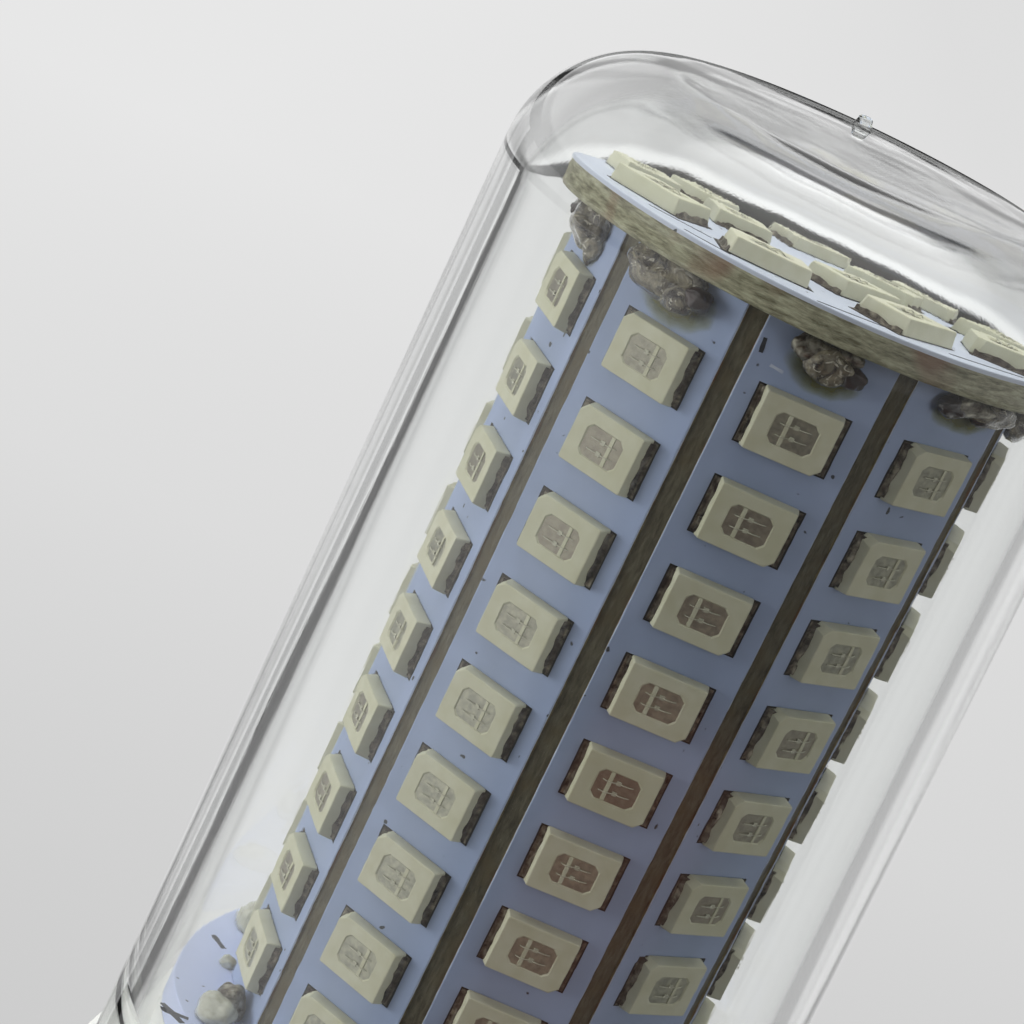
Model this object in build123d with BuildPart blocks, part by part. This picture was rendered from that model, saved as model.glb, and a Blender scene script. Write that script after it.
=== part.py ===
from build123d import *
import os
from math import cos, pi, radians, sin, sqrt, tan

os.makedirs("parts", exist_ok=True)

# An LED lamp with an Edison screw cap: a ring of LED boards under a clear moulded cover.
# Millimetres, +Z from the cap to the cover's top, with the origin at the tip of the centre contact.

# Ring of boards
strip_count = 10
strip_width = 5.76
strip_thickness = 1.2
strip_gap = 0.2  # between the inner edges of two boards
first_strip_angle = -90.0
led_rows = 9
turned_strip = 1
led_pitch = 4.35
strip_top_margin = 4.35  # from the middle of the top row to the board's upper end
strip_foot_margin = 3.2

# Surface mount LED
led_length = 3.5
led_width = 2.8
led_height = 0.7
led_side_taper = 6.0
led_key_corner = 0.55
led_window_length = 1.93
led_window_width = 1.43
led_window_corner = 0.24
led_window_depth = 0.12
led_bar_width = 0.28  # the bar of body plastic that parts the window
led_bar_offset = 0.36
led_terminal_reach = 0.125  # how far a terminal shows past the body
led_terminal_width = 2.0
led_terminal_height = 0.2

# Round boards at the ends of the ring
disc_overhang = 1.63
disc_thickness = 1.2
disc_ring_leds = 9
disc_ring_r = 9.0
disc_ring_start = -74.0
disc_led_turn = 27.0  # how far an LED's length is turned from the ring's tangent
disc_inner_leds = 3
disc_inner_r = 4.4
disc_inner_start = -81.0
plate_overhang = 2.93
plate_thickness = 1.6

# Solder joints, lumps with a concave side
top_joint_r = 1.3
top_joint_height = 2.0
foot_joint_r = 1.3
foot_joint_height = 1.8
foot_joint_offset = 0.7
joint_tip_r = 0.35
joint_hollow = 0.38
wire_joint_r = 0.75
wire_joint_height = 1.3

# Clear cover
cover_gap = 0.93  # between the base plate's edge and the cover at its foot
cover_wall = 1.5
cover_draft = 0.018
cover_corner_r = 5.95
cover_rise = 0.43
cover_headroom = 3.45
gate_base_r = 0.45
gate_tip_r = 0.3
gate_height = 0.5
gate_sink = 0.3
gate_place = (0.4, 6.5)

# Snap joint between the cover and the housing
neck_height = 4.8
rebate_wall = 0.88
snap_clearance = 0.1
rebate_headroom = 0.2
snap_bead = 0.25
snap_bead_half_height = 0.5

# Screw cap
thread_crest_r = 13.1
thread_root_r = 12.15
thread_pitch = 3.62
thread_turns = 4
shell_wall = 0.4
shell_foot_r = 10.65
shell_foot_height = 1.2
shell_shoulder_height = 1.2
skirt_r = 13.3
skirt_shoulder_height = 0.4
skirt_length = 4.72
insulator_face_r = 6.0
insulator_cone_height = 4.0
insulator_plug_height = 2.5
insulator_clearance = 0.05
contact_r = 4.75
contact_rim = 0.45
contact_height = 1.0
rivet_r = 1.2
rivet_clearance = 0.05
rivet_stand = 0.3

# Moulded housing
housing_body_height = 17.0
housing_lip_height = 2.0
housing_lip_margin = 0.57
housing_lip_step = 0.3
housing_collar_step = 0.9
spigot_clearance = 0.1
spigot_step = 0.35  # how far the spigot's bore stands inside the thread's inner side
spigot_inset = 0.3  # how far the spigot stays short of the skirt's end
plate_seat_width = 1.1
plate_seat_rise = 1.6
ledge_width = 1.0
ledge_thickness = 1.4

# Driver
driver_clearance = 0.2
driver_thickness = 1.2
driver_headroom = 9.8
film_length = 10.0
film_width = 4.5
film_height = 8.0
film_edge_r = 0.6
film_offset = 5.0
smoothing_r = 4.0
smoothing_height = 12.0
smoothing_wall_gap = 0.8
smoothing_crimp = 0.35
bridge_length = 4.7
bridge_width = 3.9
bridge_height = 2.5
bridge_place = (-3.6, 4.2)
chip_length = 3.2
chip_width = 1.6
chip_height = 0.6
chip_columns = 2
chip_rows = 3
chip_step = (4.4, 2.6)
chip_place = (-3.6, -4.2)
fuse_r = 1.75
fuse_length = 9.0
fuse_gap = 0.8  # between the foot of the smoothing capacitor and the resistor
fuse_lead_r = 0.35
lead_r = 0.6
lead_wall_gap = 0.3
plus_lead_angle = -158.4
minus_lead_angle = 172.8
shell_lead_wall_gap = 1.1
shell_lead_angle = 90.0
shell_lead_bend_r = 1.2
shell_lead_gap = 0.2

# Radii that follow from the boards
ring_inner = (strip_width + strip_gap) / 2 / tan(pi / strip_count)
ring_face = ring_inner + strip_thickness
disc_r = ring_face + disc_overhang
plate_r = ring_face + plate_overhang
cover_foot_r = plate_r + cover_gap + cover_wall
neck_r = cover_foot_r - rebate_wall - snap_clearance
lip_r = cover_foot_r + housing_lip_margin
housing_bore_r = plate_r - plate_seat_width
driver_r = housing_bore_r - driver_clearance
lead_place_r = housing_bore_r - lead_wall_gap - lead_r
spigot_r = skirt_r - shell_wall - spigot_clearance
spigot_bore_r = thread_root_r - shell_wall - spigot_step
smoothing_offset = spigot_bore_r - smoothing_wall_gap - smoothing_r
shell_lead_place_r = spigot_bore_r - shell_lead_wall_gap - lead_r
collar_r = skirt_r + housing_collar_step

# Heights, from the contact's tip upwards
insulator_bottom = contact_height
shell_bottom = insulator_bottom + insulator_cone_height
insulator_top = shell_bottom + insulator_plug_height
thread_bottom = shell_bottom + shell_foot_height + shell_shoulder_height
thread_top = thread_bottom + thread_turns * thread_pitch
skirt_bottom = thread_top + skirt_shoulder_height
shell_top = skirt_bottom + skirt_length
cover_foot = shell_top + housing_body_height
neck_top = cover_foot + neck_height
plate_bottom = neck_top + plate_seat_rise
strip_bottom = plate_bottom + plate_thickness
strip_length = strip_top_margin + (led_rows - 1) * led_pitch + strip_foot_margin
disc_bottom = strip_bottom + strip_length
disc_top = disc_bottom + disc_thickness
cover_top = disc_top + cover_headroom + cover_wall
driver_top = plate_bottom - driver_headroom
driver_bottom = driver_top - driver_thickness


def strip_angle(number):
    return radians(first_strip_angle + 360 / strip_count * (number - 1))


def face_plane(number, height):
    # On a strip's outer face: x to the right as seen from outside, y up, z outwards
    angle = strip_angle(number)
    outward = Vector(cos(angle), sin(angle), 0)
    place = outward * ring_face + Vector(0, 0, height)
    return Plane(origin=place, x_dir=(-sin(angle), cos(angle), 0), z_dir=outward)


def joint_plane(number, height):
    # Level, at the middle of a strip's outer face, with y outwards
    angle = strip_angle(number)
    place = (ring_face * cos(angle), ring_face * sin(angle), height)
    return Plane(origin=place, x_dir=(sin(angle), -cos(angle), 0), z_dir=(0, 0, 1))


# Screw shell: drawn brass sheet with a knuckle thread, shown as rings
thread_mid_r = (thread_crest_r + thread_root_r) / 2
with BuildPart() as screw_shell:
    with BuildSketch(Plane.XZ):
        with BuildLine():
            foot = (shell_foot_r, shell_bottom)
            shoulder = (shell_foot_r, shell_bottom + shell_foot_height)
            Line(foot, shoulder)
            Line(shoulder, (thread_mid_r, thread_bottom))
            for turn in range(thread_turns):
                low = thread_bottom + turn * thread_pitch
                middle = low + thread_pitch / 2
                high = low + thread_pitch
                crest = (thread_crest_r, (low + middle) / 2)
                root = (thread_root_r, (middle + high) / 2)
                ThreePointArc((thread_mid_r, low), crest, (thread_mid_r, middle))
                ThreePointArc((thread_mid_r, middle), root, (thread_mid_r, high))
            Line((thread_mid_r, thread_top), (skirt_r, skirt_bottom))
            Line((skirt_r, skirt_bottom), (skirt_r, shell_top))
            offset(amount=shell_wall, side=Side.LEFT)
        make_face()
    revolve(axis=Axis.Z)
screw_shell.part.label = "screw_shell"
export_step(screw_shell.part, "parts/screw_shell.step")

# Insulator: a cone under the shell, with a plug that the shell's foot grips
plug_r = shell_foot_r - shell_wall - insulator_clearance
rivet_bore_r = rivet_r + rivet_clearance
with BuildPart() as cap_insulator:
    with BuildSketch(Plane.XZ):
        with BuildLine():
            Polyline(
                (rivet_bore_r, insulator_bottom),
                (insulator_face_r, insulator_bottom),
                (shell_foot_r, shell_bottom),
                (plug_r, shell_bottom),
                (plug_r, insulator_top),
                (rivet_bore_r, insulator_top),
                close=True,
            )
        make_face()
    revolve(axis=Axis.Z)
cap_insulator.part.label = "cap_insulator"
export_step(cap_insulator.part, "parts/cap_insulator.step")

# Centre contact: a domed button with its rivet through the insulator
rivet_top = insulator_top + rivet_stand
with BuildPart() as centre_contact:
    with BuildSketch(Plane.XZ):
        with BuildLine():
            dome_edge = (contact_r, contact_height - contact_rim)
            dome_bend = contact_r / 2
            dome_r = (contact_r**2 + dome_edge[1] ** 2) / (2 * dome_edge[1])
            ThreePointArc((0, 0), (dome_bend, dome_r - sqrt(dome_r**2 - dome_bend**2)), dome_edge)
            Polyline(
                dome_edge,
                (contact_r, contact_height),
                (rivet_r, contact_height),
                (rivet_r, rivet_top),
                (0, rivet_top),
                (0, 0),
            )
        make_face()
    revolve(axis=Axis.Z)
centre_contact.part.label = "centre_contact"
export_step(centre_contact.part, "parts/centre_contact.step")

# Housing: moulded, with a spigot for the shell, a lip and neck for the cover, and a seat for the plate
lip_bottom = cover_foot - housing_lip_height
bead_height = (cover_foot + neck_top) / 2
spigot_bottom = skirt_bottom + spigot_inset
ledge_r = housing_bore_r - ledge_width
with BuildPart() as base_housing:
    with BuildSketch(Plane.XZ):
        with BuildLine():
            Polyline(
                (spigot_bore_r, spigot_bottom),
                (spigot_r, spigot_bottom),
                (spigot_r, shell_top),
                (collar_r, shell_top),
                (lip_r - housing_lip_step, lip_bottom),
                (lip_r, lip_bottom),
                (lip_r, cover_foot),
                (neck_r, cover_foot),
                (neck_r, bead_height - snap_bead_half_height),
            )
            bead_low = (neck_r, bead_height - snap_bead_half_height)
            bead_high = (neck_r, bead_height + snap_bead_half_height)
            ThreePointArc(bead_low, (neck_r + snap_bead, bead_height), bead_high)
            Polyline(
                bead_high,
                (neck_r, neck_top),
                (plate_r, neck_top),
                (plate_r, plate_bottom),
                (housing_bore_r, plate_bottom),
                (housing_bore_r, driver_bottom),
                (ledge_r, driver_bottom),
                (ledge_r, driver_bottom - ledge_thickness),
                (spigot_bore_r, driver_bottom - ledge_thickness),
                (spigot_bore_r, spigot_bottom),
            )
        make_face()
    revolve(axis=Axis.Z)
base_housing.part.label = "base_housing"
export_step(base_housing.part, "parts/base_housing.step")


def cover_half(inset):
    # Half of the cover's outline, drawn in by inset, with a drafted side and a low dome
    crown = cover_top - inset
    edge = crown - cover_rise
    foot_r = cover_foot_r - inset
    edge_r = foot_r - cover_draft * (edge - cover_foot)
    dome_r = (edge_r**2 + cover_rise**2) / (2 * cover_rise)
    bend_r = edge_r / 2
    bend = crown - dome_r + sqrt(dome_r**2 - bend_r**2)
    with BuildSketch(Plane.XZ) as half:
        with BuildLine():
            Line((0, cover_foot), (foot_r, cover_foot))
            Line((foot_r, cover_foot), (edge_r, edge))
            ThreePointArc((edge_r, edge), (bend_r, bend), (0, crown))
            Line((0, crown), (0, cover_foot))
        make_face()
        corner = half.vertices().sort_by_distance((edge_r, edge))[0]
        fillet(corner, radius=cover_corner_r - inset)
    return half.sketch


# Clear cover: one moulding, with its gate's stub on top, off the middle, and a rebate at its foot
rebate_r = neck_r + snap_clearance
rebate_top = neck_top + rebate_headroom
groove_half_height = snap_bead_half_height + snap_clearance
cover_outside = cover_half(0)
cover_inside = cover_half(cover_wall)
with BuildPart() as cover:
    add(cover_outside)
    revolve(axis=Axis.Z)
    with BuildSketch(Plane.XY.offset(cover_top - gate_sink)):
        with Locations(gate_place):
            Circle(gate_base_r)
    with BuildSketch(Plane.XY.offset(cover_top + gate_height)):
        with Locations(gate_place):
            Circle(gate_tip_r)
    loft()
    add(cover_inside)
    revolve(axis=Axis.Z, mode=Mode.SUBTRACT)
    with BuildSketch(Plane.XZ):
        with BuildLine():
            groove_low = (rebate_r, bead_height - groove_half_height)
            groove_high = (rebate_r, bead_height + groove_half_height)
            Polyline((0, rebate_top), (0, cover_foot), (rebate_r, cover_foot), groove_low)
            ThreePointArc(groove_low, (rebate_r + snap_bead, bead_height), groove_high)
            Polyline(groove_high, (rebate_r, rebate_top), (0, rebate_top))
        make_face()
    revolve(axis=Axis.Z, mode=Mode.SUBTRACT)
cover.part.label = "cover"
export_step(cover.part, "parts/cover.step")

# Round board under the ring
with BuildPart() as base_plate:
    with BuildSketch(Plane.XY.offset(plate_bottom)):
        Circle(plate_r)
    extrude(amount=plate_thickness)
base_plate.part.label = "base_plate"
export_step(base_plate.part, "parts/base_plate.step")

# Round board on top of the ring
with BuildPart() as top_disc:
    with BuildSketch(Plane.XY.offset(disc_bottom)):
        Circle(disc_r)
    extrude(amount=disc_thickness)
top_disc.part.label = "top_disc"
export_step(top_disc.part, "parts/top_disc.step")

# One LED on its back: a tapered body with a key corner, a sunk window parted by a bar, and two terminals
with BuildPart() as led:
    with BuildSketch() as led_outline:
        Rectangle(led_length, led_width)
        key = led_outline.vertices().sort_by_distance((-led_length, led_width))[0]
        chamfer(key, length=led_key_corner)
    extrude(amount=led_height, taper=led_side_taper)
    with BuildSketch():
        Rectangle(led_length + 2 * led_terminal_reach, led_terminal_width)
    extrude(amount=led_terminal_height)
    with BuildSketch(Plane.XY.offset(led_height)) as led_window:
        Rectangle(led_window_length, led_window_width)
        chamfer(led_window.vertices(), length=led_window_corner)
        with Locations((led_bar_offset, 0)):
            Rectangle(led_bar_width, led_window_width, mode=Mode.SUBTRACT)
    extrude(amount=-led_window_depth, mode=Mode.SUBTRACT)

# The boards and their LEDs. One board is turned over end for end.
for number in range(1, strip_count + 1):
    with BuildPart() as led_strip:
        with BuildSketch(face_plane(number, strip_bottom + strip_length / 2)):
            Rectangle(strip_width, strip_length)
        extrude(amount=-strip_thickness)
    led_strip.part.label = f"led_strip_{number}"
    export_step(led_strip.part, f"parts/led_strip_{number}.step")

    turn = 180 if number == turned_strip else 0
    rows = [strip_bottom + strip_foot_margin + led_pitch * row for row in range(led_rows)]
    with BuildPart() as strip_leds:
        with Locations(*[face_plane(number, height) for height in rows]):
            add(led.part, rotation=(0, 0, turn))
    strip_leds.part.label = f"strip_{number}_leds"
    export_step(strip_leds.part, f"parts/strip_{number}_leds.step")

# LEDs on the top board, a ring and a middle group
with BuildPart() as top_disc_leds:
    with Locations(Plane.XY.offset(disc_top)):
        with PolarLocations(disc_ring_r, disc_ring_leds, start_angle=disc_ring_start):
            add(led.part, rotation=(0, 0, 90 + disc_led_turn))
        with PolarLocations(disc_inner_r, disc_inner_leds, start_angle=disc_inner_start):
            add(led.part, rotation=(0, 0, 90 + disc_led_turn))
top_disc_leds.part.label = "top_disc_leds"
export_step(top_disc_leds.part, "parts/top_disc_leds.step")


def lump(radius, height):
    # A solder lump that stands on z = 0, its side hollow from a wide foot to a narrow tip
    bend = (joint_tip_r + (radius - joint_tip_r) * joint_hollow, height * joint_hollow)
    with BuildPart() as body:
        with BuildSketch(Plane.XZ):
            with BuildLine():
                Polyline((0, 0), (radius, 0), bend, (joint_tip_r, height), (0, height), close=True)
            make_face()
        revolve(axis=Axis.Z)
    return body.part


# A half lump that hangs under the top board against a strip's face
hanging_lump = lump(top_joint_r, top_joint_height)
with BuildPart() as top_joint:
    add(hanging_lump, rotation=(180, 0, 0))
    split(bisect_by=Plane.XZ, keep=Keep.BOTTOM)

with BuildPart() as top_solder_joints:
    numbers = range(1, strip_count + 1)
    with Locations(*[joint_plane(number, disc_bottom) for number in numbers]):
        add(top_joint.part)
top_solder_joints.part.label = "top_solder_joints"
export_step(top_solder_joints.part, "parts/top_solder_joints.step")

# A lump that stands on the base plate at a strip's foot, cut flat by the strip's face
standing_lump = lump(foot_joint_r, foot_joint_height)
wire_joint = lump(wire_joint_r, wire_joint_height)
with BuildPart() as foot_joint:
    add(standing_lump)
    split(bisect_by=Plane.XZ.offset(foot_joint_offset), keep=Keep.BOTTOM)

with BuildPart() as base_solder_joints:
    numbers = range(1, strip_count + 1)
    with Locations(*[joint_plane(number, strip_bottom) for number in numbers]):
        with Locations((0, foot_joint_offset)):
            add(foot_joint.part)
    minus_angle = radians(minus_lead_angle)
    minus_place = (lead_place_r * cos(minus_angle), lead_place_r * sin(minus_angle), strip_bottom)
    with Locations(minus_place):
        add(wire_joint)
base_solder_joints.part.label = "base_solder_joints"
export_step(base_solder_joints.part, "parts/base_solder_joints.step")

# Driver board on the housing's ledge
with BuildPart() as driver_board:
    with BuildSketch(Plane.XY.offset(driver_bottom)):
        Circle(driver_r)
    extrude(amount=driver_thickness)
driver_board.part.label = "driver_board"
export_step(driver_board.part, "parts/driver_board.step")

# Film capacitor, a box with rounded edges
with BuildPart() as film_capacitor:
    with BuildSketch(Plane.XY.offset(driver_top)):
        with Locations((film_offset, 0)):
            Rectangle(film_width, film_length)
    extrude(amount=film_height)
    fillet(film_capacitor.edges().filter_by(Axis.Z), radius=film_edge_r)
film_capacitor.part.label = "film_capacitor"
export_step(film_capacitor.part, "parts/film_capacitor.step")

# Smoothing capacitor: a can that hangs under the board, with the crimp above its foot
with BuildPart() as smoothing_capacitor:
    with BuildSketch(Plane.XY.offset(driver_bottom)):
        with Locations((smoothing_offset, 0)):
            Circle(smoothing_r)
    extrude(amount=-smoothing_height)
    crimp_height = driver_bottom - 3 * smoothing_crimp
    with BuildSketch(Plane.XY.offset(crimp_height)):
        with Locations((smoothing_offset, 0)):
            Circle(smoothing_r)
            Circle(smoothing_r - smoothing_crimp, mode=Mode.SUBTRACT)
    extrude(amount=-2 * smoothing_crimp, mode=Mode.SUBTRACT)
smoothing_capacitor.part.label = "smoothing_capacitor"
export_step(smoothing_capacitor.part, "parts/smoothing_capacitor.step")

# Bridge rectifier and chip resistors on the board's upper side
with BuildPart() as bridge_rectifier:
    with BuildSketch(Plane.XY.offset(driver_top)):
        with Locations(bridge_place):
            Rectangle(bridge_length, bridge_width)
    extrude(amount=bridge_height, taper=led_side_taper)
bridge_rectifier.part.label = "bridge_rectifier"
export_step(bridge_rectifier.part, "parts/bridge_rectifier.step")

with BuildPart() as chip_resistors:
    with BuildSketch(Plane.XY.offset(driver_top)):
        with Locations(chip_place):
            with GridLocations(*chip_step, chip_columns, chip_rows):
                Rectangle(chip_length, chip_width)
    extrude(amount=chip_height)
chip_resistors.part.label = "chip_resistors"
export_step(chip_resistors.part, "parts/chip_resistors.step")

# Fuse resistor on the axis, its upper lead at the board and its lower one on the contact's rivet
fuse_top = driver_bottom - smoothing_height - fuse_gap
with BuildPart() as fuse_resistor:
    with BuildSketch(Plane.XY.offset(rivet_top)):
        Circle(fuse_lead_r)
    extrude(amount=driver_bottom - rivet_top)
    with BuildSketch(Plane.XY.offset(fuse_top)):
        Circle(fuse_r)
    extrude(amount=-fuse_length)
fuse_resistor.part.label = "fuse_resistor"
export_step(fuse_resistor.part, "parts/fuse_resistor.step")

# Leads from the driver up to the base plate
for name, lead_angle in (("plus_lead", plus_lead_angle), ("minus_lead", minus_lead_angle)):
    turn = radians(lead_angle)
    with BuildPart() as lead:
        with BuildSketch(Plane.XY.offset(driver_top)):
            with Locations((lead_place_r * cos(turn), lead_place_r * sin(turn))):
                Circle(lead_r)
        extrude(amount=plate_bottom - driver_top)
    lead.part.label = name
    export_step(lead.part, f"parts/{name}.step")

# Lead from the driver down to the shell, bent out to its wall at the top turn of the thread
shell_lead_height = thread_top - thread_pitch / 4
shell_lead_reach = thread_root_r - shell_wall - shell_lead_gap
shell_turn = radians(shell_lead_angle)
lead_plane = Plane(origin=(0, 0, 0), x_dir=(cos(shell_turn), sin(shell_turn), 0),
                   z_dir=(sin(shell_turn), -cos(shell_turn), 0))
with BuildPart() as shell_lead:
    with BuildLine(lead_plane) as route:
        FilletPolyline(
            (shell_lead_place_r, driver_bottom),
            (shell_lead_place_r, shell_lead_height),
            (shell_lead_reach, shell_lead_height),
            radius=shell_lead_bend_r,
        )
    with BuildSketch(Plane(origin=route.line @ 0, z_dir=route.line % 0)):
        Circle(lead_r)
    sweep()
shell_lead.part.label = "shell_lead"
export_step(shell_lead.part, "parts/shell_lead.step")
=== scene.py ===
import math

import bmesh
import bpy
from mathutils import Matrix, Vector, noise


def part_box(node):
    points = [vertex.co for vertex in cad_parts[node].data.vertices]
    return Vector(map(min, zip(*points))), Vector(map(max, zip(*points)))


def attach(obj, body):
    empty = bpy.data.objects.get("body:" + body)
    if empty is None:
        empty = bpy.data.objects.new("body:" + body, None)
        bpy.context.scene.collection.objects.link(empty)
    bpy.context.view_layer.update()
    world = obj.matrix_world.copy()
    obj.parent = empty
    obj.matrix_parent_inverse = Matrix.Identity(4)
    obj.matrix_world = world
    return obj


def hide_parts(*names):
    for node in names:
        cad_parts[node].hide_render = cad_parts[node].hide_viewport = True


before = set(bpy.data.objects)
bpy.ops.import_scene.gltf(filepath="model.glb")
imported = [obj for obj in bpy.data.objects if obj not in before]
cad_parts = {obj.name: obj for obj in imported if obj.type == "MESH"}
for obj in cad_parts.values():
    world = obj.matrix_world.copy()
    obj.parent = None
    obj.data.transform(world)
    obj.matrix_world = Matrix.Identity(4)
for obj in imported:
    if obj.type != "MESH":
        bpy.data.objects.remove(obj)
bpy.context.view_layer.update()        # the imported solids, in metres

mm = 0.001
print("frame loaded:", len(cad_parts), "nodes")


# Shader maths: a wrapped socket that takes part in sums
class Wire:
    def __init__(self, tree, socket):
        self.tree = tree
        self.socket = socket

    def joined(self, operation, other, turned=False):
        node = self.tree.nodes.new("ShaderNodeMath")
        node.operation = operation
        pair = (other, self) if turned else (self, other)
        for slot, value in zip(node.inputs, pair):
            feed(self.tree, slot, value)
        return Wire(self.tree, node.outputs[0])

    def most(self, other):
        return self.joined("MAXIMUM", other)

    def part(self, name):
        # one axis of a vector
        node = self.tree.nodes.new("ShaderNodeSeparateXYZ")
        self.tree.links.new(self.socket, node.inputs[0])
        return Wire(self.tree, node.outputs[name])


def asOperator(operation, turned=False):
    return lambda self, other: self.joined(operation, other, turned)


for sign, operation in (("add", "ADD"), ("sub", "SUBTRACT"), ("mul", "MULTIPLY"), ("truediv", "DIVIDE"),
                        ("pow", "POWER")):
    setattr(Wire, f"__{sign}__", asOperator(operation))
    setattr(Wire, f"__r{sign}__", asOperator(operation, True))


def feed(tree, slot, value):
    if isinstance(value, Wire):
        tree.links.new(value.socket, slot)
    elif isinstance(value, tuple) and len(value) == 3 and slot.type == "RGBA":
        slot.default_value = (*value, 1)
    else:
        slot.default_value = value


class Finish:
    # one material, or the world, and the nodes that colour it
    def __init__(self, name, world=None):
        self.owner = world or bpy.data.materials.new(name)
        self.owner.use_nodes = True
        self.tree = self.owner.node_tree
        self.tree.nodes.clear()
        self.output = self.tree.nodes.new("ShaderNodeOutputWorld" if world else "ShaderNodeOutputMaterial")

    def add(self, kind, settings=None, out=0, **inputs):
        node = self.tree.nodes.new("ShaderNode" + kind)
        for key, value in (settings or {}).items():
            setattr(node, key, value)
        for key, value in inputs.items():
            feed(self.tree, node.inputs[key.replace("_", " ")], value)
        return Wire(self.tree, node.outputs[out])

    def place(self, stretch=(1, 1, 1)):
        # object coordinates in millimetres
        spot = self.add("TexCoord", out="Object")
        return self.add("Mapping", Vector=spot, Scale=tuple(1000.0 * s for s in stretch))

    def grain(self, scale, detail=3.0, rough=0.55, where=None, twist=0.0):
        return self.add("TexNoise", Vector=where or self.place(), Scale=scale, Detail=detail,
                        Roughness=rough, Distortion=twist)

    def attribute(self, name):
        return self.add("Attribute", {"attribute_name": name}, out="Fac")

    def ramp(self, value, stops):
        # grey levels at their places from 0 to 1
        node = self.tree.nodes.new("ShaderNodeValToRGB")
        elements = node.color_ramp.elements
        while len(elements) < len(stops):
            elements.new(0.5)
        for element, (place, level) in zip(elements, stops):
            element.position = place
            element.color = (level, level, level, 1)
        feed(self.tree, node.inputs["Fac"], value)
        return Wire(self.tree, node.outputs[0])

    def spread(self, value, low, high, toLow=0.0, toHigh=1.0):
        return self.add("MapRange", {"clamp": True}, Value=value, From_Min=low, From_Max=high,
                        To_Min=toLow, To_Max=toHigh)

    def mix(self, factor, first, second, blend="MIX"):
        node = self.tree.nodes.new("ShaderNodeMix")
        node.data_type = "RGBA"
        node.blend_type = blend
        feed(self.tree, node.inputs[0], factor)
        feed(self.tree, node.inputs[6], first)
        feed(self.tree, node.inputs[7], second)
        return Wire(self.tree, node.outputs[2])

    def mixed(self, factor, first, second):
        # two shaders, the second where the factor is 1
        node = self.tree.nodes.new("ShaderNodeMixShader")
        for slot, value in zip(node.inputs, (factor, first, second)):
            feed(self.tree, slot, value)
        return Wire(self.tree, node.outputs[0])

    def bump(self, height, strength, distance):
        return self.add("Bump", Height=height, Strength=strength, Distance=distance)

    def gloss(self, **inputs):
        return self.add("BsdfPrincipled", **inputs)

    def show(self, shader):
        self.tree.links.new(shader.socket, self.output.inputs["Surface"])
        return self.owner


def srgb(red, green, blue):
    # a colour as it is seen, 0 to 255, made linear
    return tuple(((c / 255 + 0.055) / 1.055) ** 2.4 if c > 10 else c / 3295 for c in (red, green, blue))


# Materials
def clearPlastic():
    # slow waves along the moulding, and a shadow that lets the light through
    f = Finish("clearPlastic")
    waves = f.grain(0.12, 2.0, where=f.place(stretch=(1, 1, 0.15)))
    scratch = f.grain(9.0, 2.0, where=f.place(stretch=(1, 1, 0.05)))
    normal = f.bump(waves + scratch * 0.01, 0.12, 0.0004)
    glass = f.gloss(Base_Color=(0.975, 0.985, 0.98), Roughness=0.015, IOR=1.52, Transmission_Weight=1.0,
                    Normal=normal)
    clear = f.add("BsdfTransparent", Color=(0.93, 0.94, 0.93))
    return f.show(f.mixed(f.add("LightPath", out="Is Shadow Ray"), glass, clear))


def maskPaint(name, tone, dark):
    # solder mask over white ink: fine orange peel, faint stains and dark specks
    f = Finish(name)
    cloud = f.grain(0.35, 4.0)
    stain = f.spread(cloud, 0.35, 0.7)
    fine = f.grain(14.0, 2.0)
    colour = f.mix(stain * 0.35, tone, dark)
    speck = f.spread(f.grain(2.3, 1.0, 0.2), 0.77, 0.8)
    colour = f.mix(speck, colour, srgb(60, 62, 66))
    normal = f.bump(fine * 0.5 + cloud, 0.25, 0.00003)
    return f.show(f.gloss(Base_Color=colour, Roughness=0.34 + 0.12 * cloud, Normal=normal))


def cutEdge(name, light, dark, warm):
    # the milled edge of a board: fibres along the cut, burnt in places
    f = Finish(name)
    fibre = f.grain(5.0, 5.0, 0.7, where=f.place(stretch=(1, 1, 0.22)))
    patch = f.grain(0.5, 3.0)
    colour = f.mix(f.spread(fibre, 0.35, 0.68), dark, light)
    colour = f.mix(f.spread(patch, 0.5, 0.72), colour, warm)
    normal = f.bump(fibre, 0.7, 0.00012)
    return f.show(f.gloss(Base_Color=colour, Roughness=0.62, Normal=normal))


def discRim():
    # the rim of the top board: strands of fibre round the edge, with brown burnt places
    f = Finish("discRim")
    flat = f.place(stretch=(0.16, 0.16, 1.0))
    strand = f.grain(5.5, 5.0, 0.72, where=flat)
    patch = f.grain(0.21, 2.0)
    colour = f.mix(f.spread(strand, 0.36, 0.66), srgb(96, 92, 66), srgb(178, 176, 148))
    colour = f.mix(f.spread(patch, 0.55, 0.64) * 0.8, colour, srgb(118, 84, 62))
    normal = f.bump(strand, 0.6, 0.0001)
    return f.show(f.gloss(Base_Color=colour, Roughness=0.5, Normal=normal))


def packagePlastic():
    f = Finish("packagePlastic")
    tone = f.attribute("ledTone")
    soft = f.grain(1.1, 3.0)
    colour = f.mix(f.spread(soft, 0.3, 0.7), srgb(196, 193, 166), srgb(208, 206, 184))
    colour = f.mix(tone * 0.25, colour, srgb(182, 184, 150))
    normal = f.bump(f.grain(22.0, 2.0), 0.12, 0.00002)
    return f.show(f.gloss(Base_Color=colour, Roughness=0.42, Normal=normal))


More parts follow.
